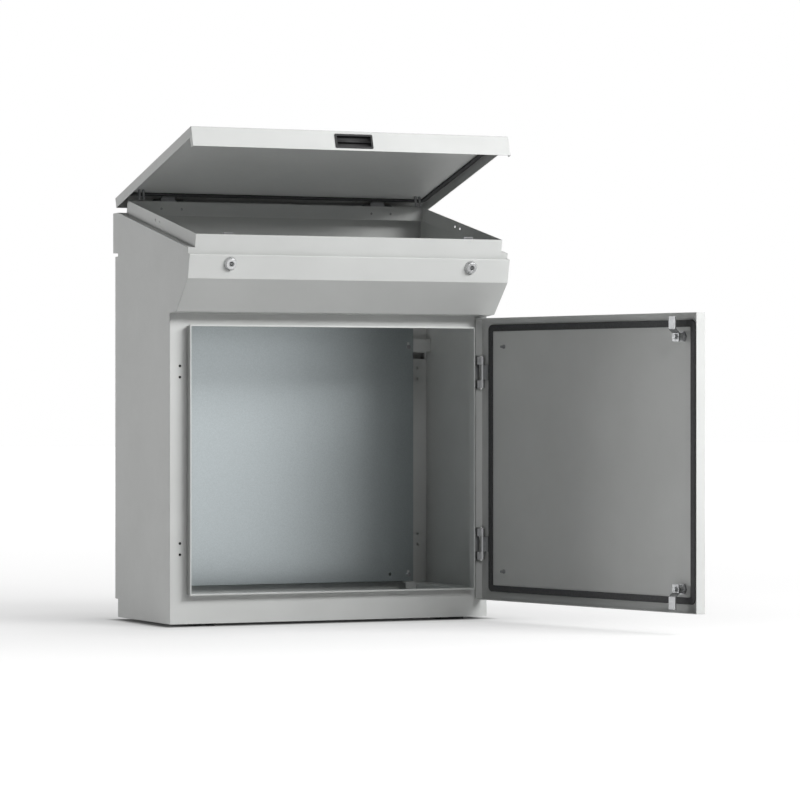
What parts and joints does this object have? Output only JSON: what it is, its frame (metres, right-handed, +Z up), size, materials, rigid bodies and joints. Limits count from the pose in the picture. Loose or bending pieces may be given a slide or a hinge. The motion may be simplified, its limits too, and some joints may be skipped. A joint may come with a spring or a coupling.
{
  "type": "console cabinet",
  "caption": "Sheet-steel compact console cabinet with sloping desk, hinged lid, hinged front door, mounting plate, bolted rear panel and quarter-turn locks, shown open.",
  "frame": {"origin": "on the floor, at the centre of the four foot bolts and of the base", "axes": "+X to the right seen from the front, +Y from the front to the rear, +Z up"},
  "size_m": [0.9498, 1.1384, 1.1255],
  "materials": {
    "paint": "light grey textured powder coat",
    "galvanised": "zinc coated sheet",
    "gasket": "foamed polyurethane seal",
    "handle": "moulded plastic",
    "lock_chrome": "plated zinc die casting",
    "zinc": "zinc plated"
  },
  "bodies": {
    "cabinet": {"left_side": "paint", "right_side": "paint", "front_frame": "paint", "nose_panel": "paint", "desk_deck": "paint", "rear_header": "paint", "rear_frame": "paint", "floor_pan": "paint", "foot_pads": "zinc", "floor_rail_left": "paint", "floor_rail_right": "paint", "gland_plates": "galvanised", "gland_gaskets": "gasket", "gland_screws": "zinc", "rear_panel": "paint", "rear_panel_gasket": "gasket", "rear_panel_pillars": "zinc", "rear_panel_screws": "zinc", "mounting_plate": "galvanised", "plate_brackets_upper": "paint", "plate_brackets_lower": "paint", "plate_screws": "zinc", "frame_hinge_leaf_upper": "zinc", "frame_hinge_leaf_lower": "zinc", "door_hinge_pin_upper": "zinc", "door_hinge_pin_lower": "zinc", "hinge_nuts": "zinc", "deck_hinge_leaf_left": "zinc", "deck_hinge_leaf_right": "zinc", "lid_hinge_pin_left": "zinc", "lid_hinge_pin_right": "zinc", "deck_hinge_screws": "zinc", "lid_lock_housings": "lock_chrome", "lid_lock_nuts": "zinc"},
    "door": {"door_panel": "paint", "door_gasket": "gasket", "door_hinge_leaf_upper": "zinc", "door_hinge_leaf_lower": "zinc", "door_studs": "zinc", "door_lock_housings": "lock_chrome", "door_lock_nuts": "zinc"},
    "lid": {"lid_panel": "paint", "lid_gasket": "gasket", "lid_handle": "handle", "lid_hinge_leaf_left": "zinc", "lid_hinge_leaf_right": "zinc", "lid_studs": "zinc", "lid_keepers": "zinc"},
    "door_lock_top": {"door_lock_insert_top": "zinc", "door_lock_cam_top": "zinc", "door_lock_screw_top": "zinc"},
    "door_lock_bottom": {"door_lock_insert_bottom": "zinc", "door_lock_cam_bottom": "zinc", "door_lock_screw_bottom": "zinc"},
    "lid_lock_left": {"lid_lock_insert_left": "zinc", "lid_lock_cam_left": "zinc", "lid_lock_screw_left": "zinc"},
    "lid_lock_right": {"lid_lock_insert_right": "zinc", "lid_lock_cam_right": "zinc", "lid_lock_screw_right": "zinc"}
  },
  "joints": [
    {"name": "door_hinge", "type": "hinge", "parent": "cabinet", "child": "door", "pos_m": [0.3795, -0.183, 0.3772], "axis": [0, 0, 1], "range_deg": [-102, 18]},
    {"name": "lid_hinge", "type": "hinge", "parent": "cabinet", "child": "lid", "pos_m": [0, 0.1736, 0.982], "axis": [-1, 0, 0], "range_deg": [-28.6, 46]},
    {"name": "door_lock_top_turn", "type": "hinge", "parent": "door", "child": "door_lock_top", "pos_m": [0.53503, -0.8666, 0.653], "axis": [-0.9781, -0.2079, 0], "range_deg": [0, 90]},
    {"name": "door_lock_bottom_turn", "type": "hinge", "parent": "door", "child": "door_lock_bottom", "pos_m": [0.53503, -0.8666, 0.099], "axis": [-0.9781, -0.2079, 0], "range_deg": [-90, 0]},
    {"name": "lid_lock_left_turn", "type": "hinge", "parent": "cabinet", "child": "lid_lock_left", "pos_m": [-0.3, -0.28251, 0.82004], "axis": [0, 0.9763, 0.2164], "range_deg": [0, 90]},
    {"name": "lid_lock_right_turn", "type": "hinge", "parent": "cabinet", "child": "lid_lock_right", "pos_m": [0.3, -0.28251, 0.82004], "axis": [0, 0.9763, 0.2164], "range_deg": [-90, 0]}
  ]
}
